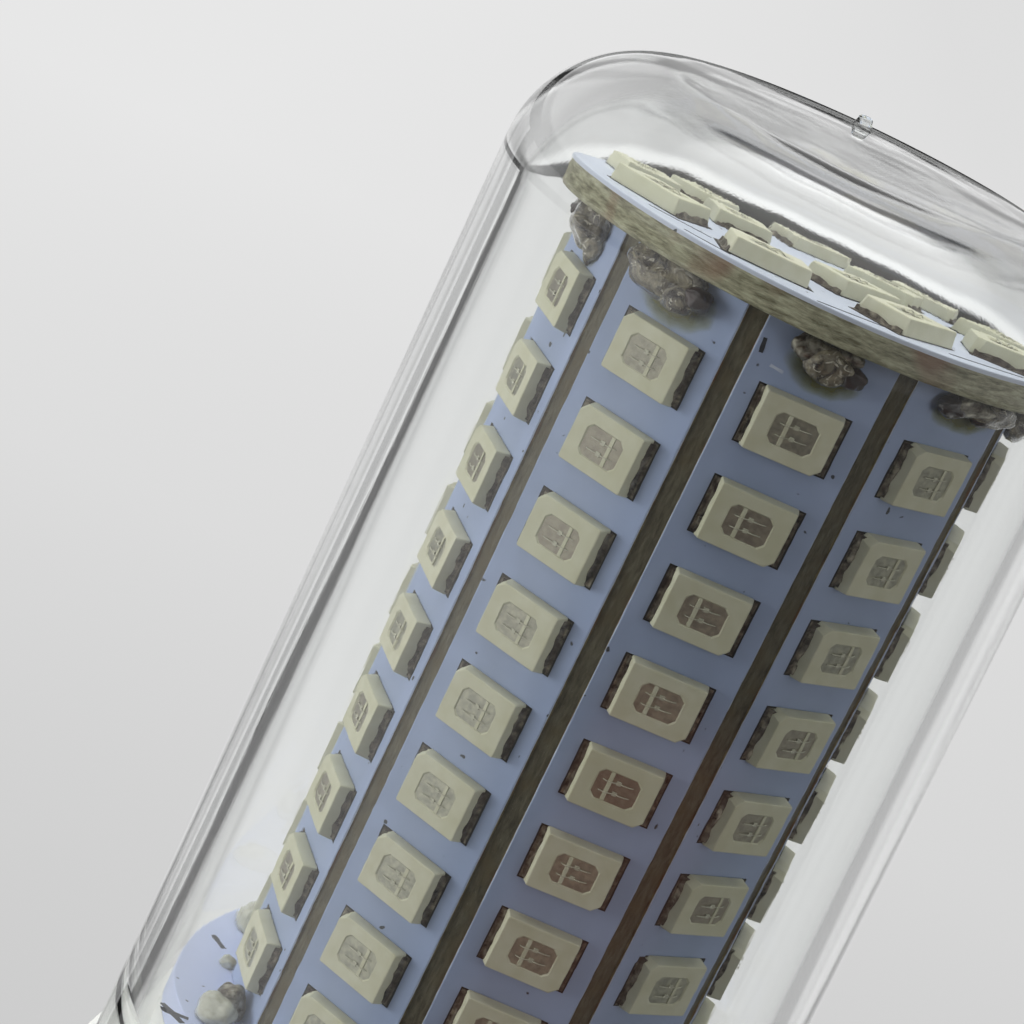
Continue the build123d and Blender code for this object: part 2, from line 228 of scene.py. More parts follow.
def leadFrame():
    f = Finish("leadFrame")
    blotch = f.grain(3.2, 3.0)
    tone = f.attribute("ledTone")
    colour = f.mix(f.spread(blotch, 0.35, 0.65), srgb(166, 164, 148), srgb(196, 194, 172))
    colour = f.mix(f.spread(tone, 0.5, 0.9) * 0.5, colour, srgb(150, 134, 118))
    return f.show(f.gloss(Base_Color=colour, Roughness=0.3 + 0.1 * blotch, Metallic=0.8,
                          Coat_Weight=0.4, Coat_Roughness=0.1))


def finePaint(name, dark, light, scale, rough, coat=0.0):
    f = Finish(name)
    colour = f.mix(f.grain(scale, 2.0), srgb(*dark), srgb(*light))
    return f.show(f.gloss(Base_Color=colour, Roughness=rough, Coat_Weight=coat))


def solderMetal(name, light, dark, fluxed, rough):
    f = Finish(name)
    lump = f.grain(2.6, 4.0, 0.6, twist=0.4)
    pits = f.grain(9.0, 3.0)
    dirt = f.spread(f.grain(1.4, 3.0), 0.6 - fluxed * 0.4, 0.85 - fluxed * 0.3)
    colour = f.mix(f.spread(lump, 0.35, 0.65), dark, light)
    colour = f.mix(dirt, colour, srgb(58, 44, 34))
    normal = f.bump(lump + pits * 0.2, 0.4, 0.00008)
    return f.show(f.gloss(Base_Color=colour, Roughness=rough + 0.25 * dirt, Metallic=0.9 - 0.8 * dirt,
                          Normal=normal))


def fluxResin():
    # glassy resin, dark brown, with grey swirls of painted reflection and pale streaks of painted glint,
    # under a wet coat
    f = Finish("fluxResin")
    swirlSheen = f.grain(0.9, 4.0, 0.6, twist=1.6)
    glintStreak = f.grain(1.7, 3.0, 0.5, twist=2.4)
    # brown resin, grey where the swirls run: painted reflection
    colour = f.mix(f.spread(swirlSheen, 0.4, 0.62), srgb(40, 30, 22), srgb(142, 134, 112))
    # pale streaks: painted glints
    colour = f.mix(f.spread(glintStreak, 0.6, 0.68) * 0.8, colour, srgb(214, 208, 190))
    normal = f.bump(swirlSheen + glintStreak, 0.5, 0.0003)
    return f.show(f.gloss(Base_Color=colour, Roughness=0.1, IOR=1.5, Normal=normal, Coat_Weight=1.0))


def stainPaint():
    # dried flux, thin at its rim
    f = Finish("fluxStain")
    fade = f.attribute("fade")
    cloud = f.grain(1.6, 3.0)
    colour = f.mix(f.spread(fade, 0.15, 0.8), srgb(150, 152, 70), srgb(84, 82, 34))
    cover = f.spread(fade + 0.5 * (cloud - 0.5), 0.1, 0.75, 0.0, 0.8)
    return f.show(f.gloss(Base_Color=colour, Roughness=0.3, Alpha=cover))


def mouldedWhite():
    f = Finish("mouldedWhite")
    fine = f.grain(6.0, 3.0)
    cloud = f.grain(0.08, 2.0)
    colour = f.mix(cloud, srgb(226, 226, 222), srgb(236, 236, 233))
    return f.show(f.gloss(Base_Color=colour, Roughness=0.3 + 0.1 * fine, Normal=f.bump(fine, 0.2, 0.00003)))


def nickelSheet():
    f = Finish("nickelSheet")
    drawn = f.grain(3.0, 4.0, 0.6, where=f.place(stretch=(0.15, 0.15, 2.0)))
    cloud = f.grain(0.25, 3.0)
    colour = f.mix(f.spread(cloud, 0.3, 0.7), srgb(196, 194, 186), srgb(214, 212, 204))
    return f.show(f.gloss(Base_Color=colour, Metallic=1.0, Roughness=0.2 + 0.18 * drawn,
                          Normal=f.bump(drawn, 0.25, 0.00003)))


def plainPaint(name, light, dark, rough=0.4, metal=0.0, scale=2.0, coat=0.0):
    f = Finish(name)
    cloud = f.grain(scale, 4.0)
    fine = f.grain(scale * 8, 2.0)
    colour = f.mix(f.spread(cloud, 0.3, 0.7), srgb(*dark), srgb(*light))
    return f.show(f.gloss(Base_Color=colour, Roughness=rough + 0.1 * fine, Metallic=metal,
                          Normal=f.bump(fine, 0.2, 0.00003), Coat_Weight=coat))


paint = {
    "clear": clearPlastic(),
    "mask": maskPaint("boardMask", srgb(158, 172, 203), srgb(128, 141, 168)),
    "plateMask": maskPaint("plateMask", srgb(196, 206, 238), srgb(180, 190, 224)),
    "topMask": maskPaint("topMask", srgb(196, 202, 216), srgb(172, 180, 200)),
    "edge": cutEdge("boardEdge", srgb(150, 134, 92), srgb(66, 54, 30), srgb(112, 66, 30)),
    "seam": cutEdge("seamLaminate", srgb(106, 101, 82), srgb(68, 62, 46), srgb(86, 76, 52)),
    # the lip's pale colour is a painted highlight along the front edges of the boards; the first board's
    # pale dash is drawn in it too
    "lip": plainPaint("boardLipHighlight", (206, 214, 228), (176, 186, 206), 0.3),
    "rim": discRim(),
    "package": packagePlastic(),
    "frame": leadFrame(),
    "chip": finePaint("chipPaint", (172, 170, 152), (200, 198, 176), 12.0, 0.3, 0.5),
    "pad": solderMetal("padSolder", srgb(168, 160, 142), srgb(40, 33, 26), 0.6, 0.3),
    # a black sheet under each LED pad, seen as a dark line round it: the opening in the mask, with its
    # shade painted black
    "gap": finePaint("blackGapShade", (14, 12, 10), (40, 32, 24), 8.0, 0.5),
    "solder": solderMetal("jointSolder", srgb(196, 192, 176), srgb(84, 74, 60), 0.35, 0.28),
    "flux": fluxResin(),
    "pale": plainPaint("paleSolder", (206, 206, 192), (160, 160, 144), 0.16, metal=0.2, scale=1.6,
                       coat=0.8),
    "burnt": plainPaint("burntFlux", (54, 34, 28), (22, 14, 12), 0.12, scale=1.5, coat=0.6),
    "olive": stainPaint(),
    "white": mouldedWhite(),
    "nickel": nickelSheet(),
    "insulator": plainPaint("insulatorGlass", (34, 34, 38), (22, 22, 24), 0.18, coat=0.4),
    "contact": plainPaint("contactMetal", (214, 200, 160), (170, 150, 110), 0.3, 1.0),
    "laminate": plainPaint("driverLaminate", (190, 150, 90), (160, 120, 66), 0.45),
    "film": plainPaint("filmCase", (150, 50, 30), (120, 34, 22), 0.25, coat=0.5),
    "sleeve": plainPaint("canSleeve", (40, 42, 58), (26, 28, 38), 0.3),
    "black": plainPaint("chipCase", (44, 44, 44), (28, 28, 28), 0.55),
    "resistor": plainPaint("resistorLacquer", (120, 160, 140), (96, 136, 120), 0.4),
    "red": plainPaint("redLead", (190, 40, 32), (150, 28, 24), 0.4),
    "ink": plainPaint("markInk", (44, 46, 52), (30, 32, 38), 0.5),
}
print("materials:", len(paint))


# Mesh helpers
def linked(name, data):
    thing = bpy.data.objects.new(name, data)
    bpy.context.scene.collection.objects.link(thing)
    return thing


def newPiece(name, mesh, materials, node, smooth=False):
    piece = linked(name, mesh)
    for material in materials:
        mesh.materials.append(material)
    if smooth:
        mesh.polygons.foreach_set("use_smooth", [True] * len(mesh.polygons))
    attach(piece, "root")
    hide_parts(node)


def arc(centre, radius, start, end, steps):
    # points of an arc in the (r, z) plane, angles in degrees
    found = []
    for step in range(steps + 1):
        turn = math.radians(start + (end - start) * step / steps)
        found.append((centre[0] + radius * math.cos(turn), centre[1] + radius * math.sin(turn)))
    return found


def softened(points, radius, steps):
    # rounds each corner of a closed outline by a small arc-like curve, apart from points on the axis
    found = []
    for i, here in enumerate(points):
        if here[0] == 0:
            found.append(here)
            continue
        here, before, after = Vector(here), Vector(points[i - 1]), Vector(points[(i + 1) % len(points)])
        reach = min(radius, 0.4 * (before - here).length, 0.4 * (after - here).length)
        first = here + (before - here).normalized() * reach
        last = here + (after - here).normalized() * reach
        for step in range(steps + 1):
            t = step / steps
            found.append(tuple(first * (1 - t) ** 2 + here * 2 * t * (1 - t) + last * t ** 2))
    return found


def spun(name, outline, segments, faceSlot=None, wobble=None):
    # a solid of revolution about Z from a closed outline of (r, z) points in mm, poles on the axis
    verts, faces, slots, rings = [], [], [], []
    for r, z in outline:
        if r < 1e-6:
            rings.append([len(verts)])
            verts.append((0, 0, z * mm))
            continue
        ring = []
        for s in range(segments):
            turn = 2 * math.pi * s / segments
            ring.append(len(verts))
            reach = r + (wobble(turn, r, z) if wobble else 0)
            verts.append((reach * math.cos(turn) * mm, reach * math.sin(turn) * mm, z * mm))
        rings.append(ring)
    for i, low in enumerate(rings):
        high = rings[(i + 1) % len(rings)]
        if len(low) == 1 and len(high) == 1:
            continue
        for s in range(segments):
            t = (s + 1) % segments
            if len(low) == 1:
                faces.append((low[0], high[t], high[s]))
            elif len(high) == 1:
                faces.append((low[s], low[t], high[0]))
            else:
                faces.append((low[s], low[t], high[t], high[s]))
            slots.append(faceSlot(i) if faceSlot else 0)
    mesh = bpy.data.meshes.new(name)
    mesh.from_pydata(verts, [], faces)
    mesh.polygons.foreach_set("material_index", slots)
    facing(mesh)
    return mesh


def facing(mesh):
    # faces point outwards
    work = bmesh.new()
    work.from_mesh(mesh)
    bmesh.ops.remove_doubles(work, verts=work.verts, dist=1e-8)
    bmesh.ops.recalc_face_normals(work, faces=work.faces)
    work.to_mesh(mesh)
    work.free()
    mesh.update()


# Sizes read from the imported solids, in mm
def nodeBox(name):
    low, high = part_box(name)
    return low / mm, high / mm


boardLow, boardHigh = nodeBox("led_strip_1")
discLow, discHigh = nodeBox("top_disc")
plateLow, plateHigh = nodeBox("base_plate")
coverLow, coverHigh = nodeBox("cover")
ring = {
    "count": 10,
    "first": -90.0,
    "face": -boardLow.y,
    "width": boardHigh.x - boardLow.x,
    "thickness": boardHigh.y - boardLow.y,
    "bottom": boardLow.z,
    "top": boardHigh.z,
}


def boardAngle(number):
    return math.radians(ring["first"] + 360 / ring["count"] * (number - 1))


def onBoard(number, height=0.0):
    # from a board's own axes (x right seen from outside, y up, z outwards) in mm to metres
    a = boardAngle(number)
    right = Vector((-math.sin(a), math.cos(a), 0))
    out = Vector((math.cos(a), math.sin(a), 0))
    turn = Matrix((right, (0, 0, 1), out)).transposed().to_4x4()
    place = Matrix.Translation((out * ring["face"] + Vector((0, 0, height))) * mm)
    return place @ turn @ Matrix.Scale(mm, 4)


# Camera
view = {
    "place": (-21.25, -121.22, 115.52), "heading": 83.72, "down": 16.81, "roll": 25.20,
    "lens": 97.55, "sensor": 36, "clip": 0.005,
}
cameraData = bpy.data.cameras.new("photoCamera")
cameraData.lens = view["lens"]
cameraData.sensor_width = view["sensor"]
cameraData.clip_start = view["clip"]
camera = linked("photoCamera", cameraData)
heading, down, roll = (math.radians(view[key]) for key in ("heading", "down", "roll"))
forward = Vector((math.cos(heading) * math.cos(down), math.sin(heading) * math.cos(down), -math.sin(down)))
aside = forward.cross(Vector((0, 0, 1))).normalized()
rise = aside.cross(forward)
right = aside * math.cos(roll) + rise * math.sin(roll)
up = rise * math.cos(roll) - aside * math.sin(roll)
camera.matrix_world = (Matrix.Translation(Vector(view["place"]) * mm)
                       @ Matrix((right, up, -forward)).transposed().to_4x4())
bpy.context.scene.camera = camera


# Clear cover: one moulding with a drafted side, a low dome, the gate stub and a snap rebate
cover = {
    "wall": 1.5, "draft": 0.018, "corner": 5.95, "innerCorner": 5.4, "rise": 0.43,
    "rebateWall": 0.88, "rebateHeight": 5.0, "shoulder": 0.05, "grooveMiddle": 2.4, "grooveHalf": 0.6,
    "groove": 0.25,
    "sideSteps": 40, "cornerSteps": 28, "domeSteps": 25, "grooveSteps": 8, "segments": 256,
    "lean": 0.55, "leanFrom": 50.0, "leanTo": (-0.994, 0.109),
}
# The gate's stub, off the middle: its outline is measured from the crown and begins inside the dome
gate = {
    "place": (0.4, 6.5), "height": 0.5, "round": 0.16, "roundSteps": 6, "segments": 32,
    "wobble": (0.08, 0.04),
    "outline": [(0, -0.2), (0.54, -0.2), (0.46, 0), (0.36, 0.2), (0.33, 0.4), (0.17, 0.5), (0, 0.47)],
}


def coverOutline(inset):
    # from the foot up the side, round the corner and over the dome to the axis
    foot = coverLow.z
    crown = coverHigh.z - gate["height"] - inset
    footR = coverHigh.x - inset
    edge = crown - cover["rise"]
    edgeR = footR - cover["draft"] * (edge - foot)
    domeR = (edgeR ** 2 + cover["rise"] ** 2) / (2 * cover["rise"])
    lean = math.atan(cover["draft"])
    corner = cover["innerCorner"] if inset else cover["corner"]
    # centre of the corner's arc: corner away from the side, and inside the dome's sphere
    centreZ = edge - corner
    for _ in range(20):
        centreR = footR - cover["draft"] * (centreZ - foot) - corner / math.cos(lean)
        centreZ = crown - domeR + math.sqrt((domeR - corner) ** 2 - centreR ** 2)
    tilt = math.degrees(math.asin(centreR / (domeR - corner)))
    points = []
    for step in range(cover["sideSteps"]):
        z = foot + (centreZ - foot) * step / cover["sideSteps"]
        points.append((footR - cover["draft"] * (z - foot), z))
    points += arc((centreR, centreZ), corner, math.degrees(lean), 90 - tilt, cover["cornerSteps"])
    domeStart = points[-1][0]
    for step in range(1, cover["domeSteps"]):
        r = domeStart * (1 - step / cover["domeSteps"])
        points.append((r, crown - domeR + math.sqrt(domeR ** 2 - r ** 2)))
    return points, crown


outside, crown = coverOutline(0)
inside, innerCrown = coverOutline(cover["wall"])
foot = coverLow.z
rebateR = coverHigh.x - cover["rebateWall"]
rebateTop = foot + cover["rebateHeight"]
grooveAt = foot + cover["grooveMiddle"]
shoulder = rebateTop + cover["shoulder"]
outline = outside + [(0, crown), (0, innerCrown)] + [p for p in reversed(inside) if p[1] > shoulder]
wallR = coverHigh.x - cover["wall"] - cover["draft"] * (rebateTop - foot)
outline += [(wallR, rebateTop), (rebateR, rebateTop), (rebateR, grooveAt + cover["grooveHalf"])]
for step in range(1, cover["grooveSteps"]):
    share = step / cover["grooveSteps"]
    lift = math.cos(math.pi * (share - 0.5))
    outline.append((rebateR + cover["groove"] * lift, grooveAt + cover["grooveHalf"] * (1 - 2 * share)))
outline += [(rebateR, grooveAt - cover["grooveHalf"]), (rebateR, foot)]


def leaned(mesh):
    # the moulding stands a little askew on its housing
    for vert in mesh.vertices:
        reach = max(0, vert.co.z / mm - cover["leanFrom"]) * math.tan(math.radians(cover["lean"]))
        vert.co += Vector((*cover["leanTo"], 0)) * reach * mm
    mesh.update()


def gateWobble(turn, r, z):
    slow, fast = gate["wobble"]
    return slow * r * math.sin(2 * turn + 1) + fast * r * math.sin(3 * turn)


coverMesh = spun("clearCover", outline, cover["segments"])
leaned(coverMesh)
newPiece("clearCover", coverMesh, [paint["clear"]], "cover", smooth=True)
stubOutline = softened([(r, crown + z) for r, z in gate["outline"]], gate["round"], gate["roundSteps"])
stubMesh = spun("gateStub", stubOutline, gate["segments"], wobble=gateWobble)
stubMesh.transform(Matrix.Translation(Vector((*gate["place"], 0)) * mm))
leaned(stubMesh)
newPiece("gateStub", stubMesh, [paint["clear"]], "cover", smooth=True)
print("cover:", len(coverMesh.polygons), "faces")


# Boards of the ring: a masked face and milled edges
def chamferedBox(name, low, high, bevel, materialFor):
    work = bmesh.new()
    bmesh.ops.create_cube(work, size=1)
    size = Vector(high) - Vector(low)
    middle = (Vector(high) + Vector(low)) / 2
    for vert in work.verts:
        vert.co = Vector((vert.co.x * size.x, vert.co.y * size.y, vert.co.z * size.z)) + middle
    bmesh.ops.bevel(work, geom=list(work.edges), offset=bevel, segments=2, affect="EDGES", profile=0.5)
    for face in work.faces:
        face.material_index = materialFor(face.normal)
    mesh = bpy.data.meshes.new(name)
    work.to_mesh(mesh)
    work.free()
    return mesh


board = {
    "bevel": 0.06, "seamSink": 0.16, "seamWave": 0.05, "seamDepth": 0.9, "seamGap": 0.03, "seamEnd": 0.05,
    "seamSteps": 60,
}
half = ring["width"] / 2


def boardSlot(normal):
    # the mask on both faces, the bevel round the front in the lip's pale paint, a painted highlight along
    # the edge, and the cut edges
    if abs(normal.z) > 0.8:
        return 0
    return 2 if normal.z > 0.2 else 1


for number in range(1, ring["count"] + 1):
    mesh = chamferedBox(f"ledBoard{number}", (-half, 0, -ring["thickness"]),
                        (half, ring["top"] - ring["bottom"], 0), board["bevel"], boardSlot)
    mesh.transform(onBoard(number, ring["bottom"]))
    newPiece(f"ledBoard{number}", mesh, [paint["mask"], paint["edge"], paint["lip"]], f"led_strip_{number}")
print("boards:", ring["count"])


# One LED on its back, in mm: x along its length, y across, z out of the board
led = {
    "length": 3.5, "width": 2.8, "height": 0.68, "stand": 0.04, "skirt": 0.08, "taper": 0.07,
    "corner": 0.1, "key": 0.34, "footKey": 0.272, "round": 0.05, "shoulder": 0.3,
    "windowX": 0.965, "windowY": 0.715, "windowCut": 0.24, "windowDepth": 0.055, "windowLean": 0.02,
    "windowRound": 0.03, "bar": (0.27, 0.45), "barHeight": 0.04, "sink": 0.02,
    "chips": (-0.30, 0.22), "chip": (-0.13, 0.09), "chipHalf": 0.1, "chipHeight": 0.05, "chipBevel": 0.01,
    "padIn": 1.2, "padOut": 1.98, "padHalf": 1.3, "padHeight": 0.035, "padBevel": 0.012,
    # the black sheet round each pad: the mask's opening, its shade painted in
    "gapOut": 2.06, "gapHalf": 1.38, "gapShadeLow": -0.01, "gapHeight": 0.012, "gapBevel": 0.004,
    "jitter": 0.012, "jitterShares": (0.35, 0.35, 1.0),
}
# The bond wires of a chip, each a radius and points from the chip's middle and the window's floor
wires = [
    (0.024, [(-0.08, 0, 0.05), (-0.2, 0, 0.085), (-0.42, -0.01, 0.08), (-0.66, -0.02, 0.015)]),
    (0.022, [(0.05, 0, 0.05), (0.2, 0.02, 0.1), (0.36, 0.04, 0.125), (0.52, 0.05, 0.1),
             (0.68, 0.06, 0.015)]),
]
fillet = {
    "steps": 14, "end": 0.05, "in": 1.6, "middle": 1.77, "height": 0.2, "heightWave": 0.12,
    "reach": 0.14, "reachWave": 0.06, "toe": 0.03, "toeHeight": 0.04, "waist": 0.45, "wall": 0.015,
}


def cornered(halfX, halfY, cut, keyCut):
    # sixteen points round a rectangle, four on each corner: rounded, or cut straight if keyed or large
    found = []
    for sx, sy in ((1, 1), (-1, 1), (-1, -1), (1, -1)):
        size = keyCut if (sx, sy) == (-1, 1) else cut
        first = Vector((sx * halfX, sy * (halfY - size)))
        last = Vector((sx * (halfX - size), sy * halfY))
        if sx * sy < 0:
            first, last = last, first
        peak = Vector((sx * halfX, sy * halfY))
        for step in range(4):
            t = step / 3
            straight = first.lerp(last, t)
            bowed = first * (1 - t) ** 2 + peak * 2 * t * (1 - t) + last * t ** 2
            found.append(straight if (sx, sy) == (-1, 1) or cut > 0.2 else bowed)
    return found


def lofted(name, rings, capLast=True):
    verts, faces = [], []
    size = len(rings[0])
    for points in rings:
        verts += [tuple(p) for p in points]
    for level in range(len(rings) - 1):
        for i in range(size):
            j = (i + 1) % size
            low = level * size
            faces.append((low + i, low + j, low + size + j, low + size + i))
    faces.append(tuple(reversed(range(size))))
    if capLast:
        last = (len(rings) - 1) * size
        faces.append(tuple(range(last, last + size)))
    mesh = bpy.data.meshes.new(name)
    mesh.from_pydata(verts, [], faces)
    facing(mesh)
    return mesh


# Between two boards the cut laminate shows as a flat strip, a little below their faces
seamLow, seamHigh = ring["bottom"] + board["seamEnd"], ring["top"] - board["seamEnd"]
side = half - board["seamGap"]
for number in range(1, ring["count"] + 1):
    here, there = onBoard(number), onBoard(number % ring["count"] + 1)
    rings = []
    for step in range(board["seamSteps"] + 1):
        z = seamLow + (seamHigh - seamLow) * step / board["seamSteps"]
        sink = board["seamSink"] + board["seamWave"] * noise.noise(Vector((number * 3, 0, z * 0.5)))
        rings.append([place @ Vector((x, z, -depth)) for place, x, depth in (
            (here, side, sink), (there, -side, sink), (there, -side, board["seamDepth"]),
            (here, side, board["seamDepth"]))])
    newPiece(f"boardSeam{number}", lofted(f"boardSeam{number}", rings), [paint["seam"]],
             f"led_strip_{number}")


def merged(name, meshes):
    work = bmesh.new()
    for mesh in meshes:
        work.from_mesh(mesh)
    mesh = bpy.data.meshes.new(name)
    work.to_mesh(mesh)
    work.free()
    return mesh


def raised(points, z):
    return [(p[0], p[1], z) for p in points]


def slab(name, low, high, bevel):
    return chamferedBox(name, low, high, bevel, lambda normal: 0)


def tube(name, points, radius, sides=6):
    rings = []
    for i, point in enumerate(points):
        here = Vector(point)
        ahead = Vector(points[min(i + 1, len(points) - 1)]) - Vector(points[max(i - 1, 0)])
        across = ahead.cross(Vector((0.13, 0.9, 0.2))).normalized()
        over = ahead.cross(across).normalized()
        ringPoints = []
        for s in range(sides):
            turn = 2 * math.pi * s / sides
            ringPoints.append(here + across * math.cos(turn) * radius + over * math.sin(turn) * radius)
        rings.append(ringPoints)
    return lofted(name, rings)


def ledParts():
    hx, hy = led["length"] / 2, led["width"] / 2
    tx, ty = hx - led["taper"], hy - led["taper"]
    wx, wy = led["windowX"], led["windowY"]
    top = led["height"]
    floor = top - led["windowDepth"]

    def foot(z):
        return raised(cornered(hx, hy, led["corner"], led["footKey"]), z)

    def shoulder(inset, z):
        return raised(cornered(tx - inset, ty - inset, led["corner"], led["key"]), z)

    def window(growth, z):
        return raised(cornered(wx + growth, wy + growth, led["windowCut"], led["windowCut"]), z)

    body = lofted("ledBody", [
        foot(led["stand"]),
        foot(led["stand"] + led["skirt"]),
        shoulder(0, top - led["round"]),
        shoulder(led["round"] * led["shoulder"], top - led["round"] * led["shoulder"]),
        shoulder(led["round"], top),
        window(led["windowRound"], top),
        window(0, top - led["windowRound"]),
        window(-led["windowLean"], floor),
    ], capLast=False)
    barLow, barHigh = led["bar"]
    bar = slab("ledBar", (barLow, led["sink"] - wy, floor - led["sink"]),
               (barHigh, wy - led["sink"], floor + led["barHeight"]), led["sink"])
    body = merged("ledBody", [body, bar])
    plate = lofted("ledPlate", [window(0, floor - led["sink"]), window(0, floor)])
    chips = []
    for y in led["chips"]:
        low = (led["chip"][0], y - led["chipHalf"], floor)
        high = (led["chip"][1], y + led["chipHalf"], floor + led["chipHeight"])
        chips.append(slab("chip", low, high, led["chipBevel"]))
        for radius, arch in wires:
            chips.append(tube("wire", [(p[0], y + p[1], floor + p[2]) for p in arch], radius))
    pads, gapShades = [], []
    for side in (-1, 1):
        # the pad, and under it the black sheet that paints the shade of the mask's opening
        for name, low, found in (("pad", 0, pads), ("gap", led["gapShadeLow"], gapShades)):
            inner, outer = sorted((side * led["padIn"], side * led[name + "Out"]))
            half, high = led[name + "Half"], led[name + "Height"]
            found.append(slab(name, (inner, -half, low), (outer, half, high), led[name + "Bevel"]))
        # the terminal's foot and its fillet of solder, uneven along the end
        rings = []
        half = led["padHalf"] - fillet["end"]
        for i in range(fillet["steps"] + 1):
            y = -half + 2 * half * i / fillet["steps"]
            wave = fillet["heightWave"] * noise.noise(Vector((y * 2.3, side * 3.1, 0.4)))
            height = fillet["height"] + wave
            wave = fillet["reachWave"] * noise.noise(Vector((y * 3.1, side * 5.7, 1.4)))
            reach = hx + fillet["reach"] + wave
            rings.append([(side * x, y, z) for x, z in (
                (fillet["in"], 0), (reach, 0), (reach - fillet["toe"], fillet["toeHeight"]),
                (0.4 * reach + 0.6 * fillet["middle"], height * fillet["waist"]),
                (hx + fillet["wall"], height), (fillet["in"], height))])
        pads.append(lofted("fillet", rings))
    meshes = {
        "package": body, "frame": plate, "chip": merged("ledChips", chips), "pad": merged("ledPads", pads),
        "gap": merged("ledGapShades", gapShades),
    }
    for mesh in meshes.values():
        mesh.polygons.foreach_set("use_smooth", [False] * len(mesh.polygons))
    return {key: bpy.data.objects.new("unit" + key, mesh) for key, mesh in meshes.items()}


def ledTree(parts):
    # instances of each part of an LED at the points, with a tone for each LED, then made real
    tree = bpy.data.node_groups.new("ledRows", "GeometryNodeTree")
    for name, kind in (("Geometry", "Geometry"), ("Seed", "Int"), ("Jitter", "Float")):
        tree.interface.new_socket(name, socket_type="NodeSocket" + kind)
    tree.interface.new_socket("Geometry", in_out="OUTPUT", socket_type="NodeSocketGeometry")

    def add(kind, inputs, **settings):
        node = tree.nodes.new(kind)
        for key, value in settings.items():
            setattr(node, key, value)
        for key, value in inputs.items():
            if isinstance(value, bpy.types.NodeSocket):
                tree.links.new(value, node.inputs[key])
            else:
                node.inputs[key].default_value = value
        return node

    source = tree.nodes.new("NodeGroupInput").outputs
    turn = add("GeometryNodeInputNamedAttribute", {"Name": "turn"}, data_type="FLOAT_VECTOR")
    euler = add("FunctionNodeEulerToRotation", {0: turn.outputs["Attribute"]})
    most = add("ShaderNodeVectorMath", {0: led["jitterShares"], "Scale": source["Jitter"]},
               operation="SCALE")
    least = add("ShaderNodeVectorMath", {0: most.outputs[0], "Scale": -1}, operation="SCALE")
    tilt = add("FunctionNodeRandomValue", {"Min": least.outputs[0], "Max": most.outputs[0],
                                           "Seed": source["Seed"]}, data_type="FLOAT_VECTOR")
    lean = add("FunctionNodeEulerToRotation", {0: tilt.outputs["Value"]})
    both = add("FunctionNodeRotateRotation", {"Rotation": euler.outputs[0], "Rotate By": lean.outputs[0]},
               rotation_space="LOCAL")
    tone = add("FunctionNodeRandomValue", {"Seed": source["Seed"]}, data_type="FLOAT")
    join = add("GeometryNodeJoinGeometry", {})
    for key, unit in parts.items():
        info = add("GeometryNodeObjectInfo", {"Object": unit})
        place = add("GeometryNodeInstanceOnPoints", {
            "Points": source["Geometry"], "Instance": info.outputs["Geometry"], "Rotation": both.outputs[0],
            "Scale": (mm, mm, mm)})
        store = add("GeometryNodeStoreNamedAttribute", {
            "Name": "ledTone", "Geometry": place.outputs[0], "Value": tone.outputs[1]},
            data_type="FLOAT", domain="INSTANCE")
        real = add("GeometryNodeRealizeInstances", {0: store.outputs[0]})
        coat = add("GeometryNodeSetMaterial", {"Material": paint[key], "Geometry": real.outputs[0]})
        tree.links.new(coat.outputs[0], join.inputs[0])
    add("NodeGroupOutput", {0: join.outputs[0]})
    return tree


def socketId(tree, name):
    return next(item.identifier for item in tree.interface.items_tree
                if item.name == name and item.in_out == "INPUT")


def ledGroup(name, places, tree, seed, node):
    # places: (position in metres, Euler turn) of each LED
    mesh = bpy.data.meshes.new(name + "Points")
    mesh.from_pydata([tuple(spot) for spot, _ in places], [], [])
    turns = mesh.attributes.new("turn", "FLOAT_VECTOR", "POINT")
    turns.data.foreach_set("vector", [value for _, turn in places for value in turn])
    holder = linked(name + "Points", mesh)
    modifier = holder.modifiers.new("leds", "NODES")
    modifier.node_group = tree
    modifier[socketId(tree, "Seed")] = seed
    modifier[socketId(tree, "Jitter")] = led["jitter"]
    bpy.context.view_layer.update()
    solid = bpy.data.meshes.new_from_object(holder.evaluated_get(bpy.context.evaluated_depsgraph_get()))
    holder.modifiers.remove(modifier)
    bpy.data.objects.remove(holder)
    solid.name = name
    newPiece(name, solid, [], node)


rowTree = ledTree(ledParts())
rows = {"count": 9, "pitch": 4.35, "turned": (1,)}
firstRow = nodeBox("strip_1_leds")[0].z + led["width"] / 2
for number in range(1, ring["count"] + 1):
    places = []
    for row in range(rows["count"]):
        seat = onBoard(number, firstRow + rows["pitch"] * row)
        if number in rows["turned"]:
            seat = seat @ Matrix.Rotation(math.pi, 4, "Z")
        places.append((seat.to_translation(), seat.to_euler()))
    ledGroup(f"boardLeds{number}", places, rowTree, number * 7, f"strip_{number}_leds")

# The top board's LEDs, each group a radius, a count and the angle of its first
top = {"groups": ((9.0, 9, -74.0), (4.4, 3, -81.0)), "turn": 27.0}
places = []
for radius, count, start in top["groups"]:
    for i in range(count):
        turn = math.radians(start + 360 * i / count)
        spot = Vector((radius * math.cos(turn), radius * math.sin(turn), discHigh.z)) * mm
        places.append((spot, (0, 0, turn + math.pi / 2 + math.radians(top["turn"]))))
ledGroup("topLeds", places, rowTree, 90, "top_disc_leds")
print("LEDs:", rows["count"] * ring["count"] + len(places))


